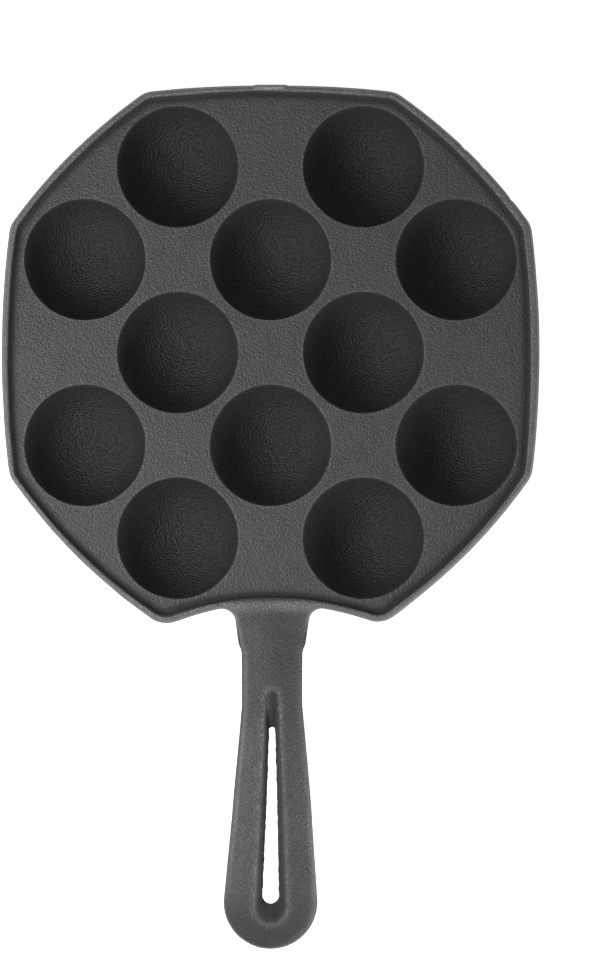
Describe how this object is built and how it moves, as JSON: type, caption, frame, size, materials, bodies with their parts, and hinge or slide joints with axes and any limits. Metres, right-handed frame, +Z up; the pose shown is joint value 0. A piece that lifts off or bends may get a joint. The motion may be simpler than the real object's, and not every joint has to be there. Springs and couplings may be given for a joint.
{
  "type": "takoyaki pan",
  "caption": "Cast iron takoyaki pan: an eight-sided plate with a raised rim, staggered round wells and a long slotted handle.",
  "frame": {"origin": "centre of the footprint at the bottom of the bounding box, on the surface that the pan stands on", "axes": "+Z up, out of the wells; +Y along the pan from the handle to the head; +X to the right with the handle towards the viewer"},
  "size_m": [0.18, 0.2884, 0.0307],
  "materials": {
    "cast_iron": "bare sand-cast iron, dark grey, dull with a fine even grain"
  },
  "bodies": {
    "root": {"pan": "cast_iron"}
  },
  "joints": []
}
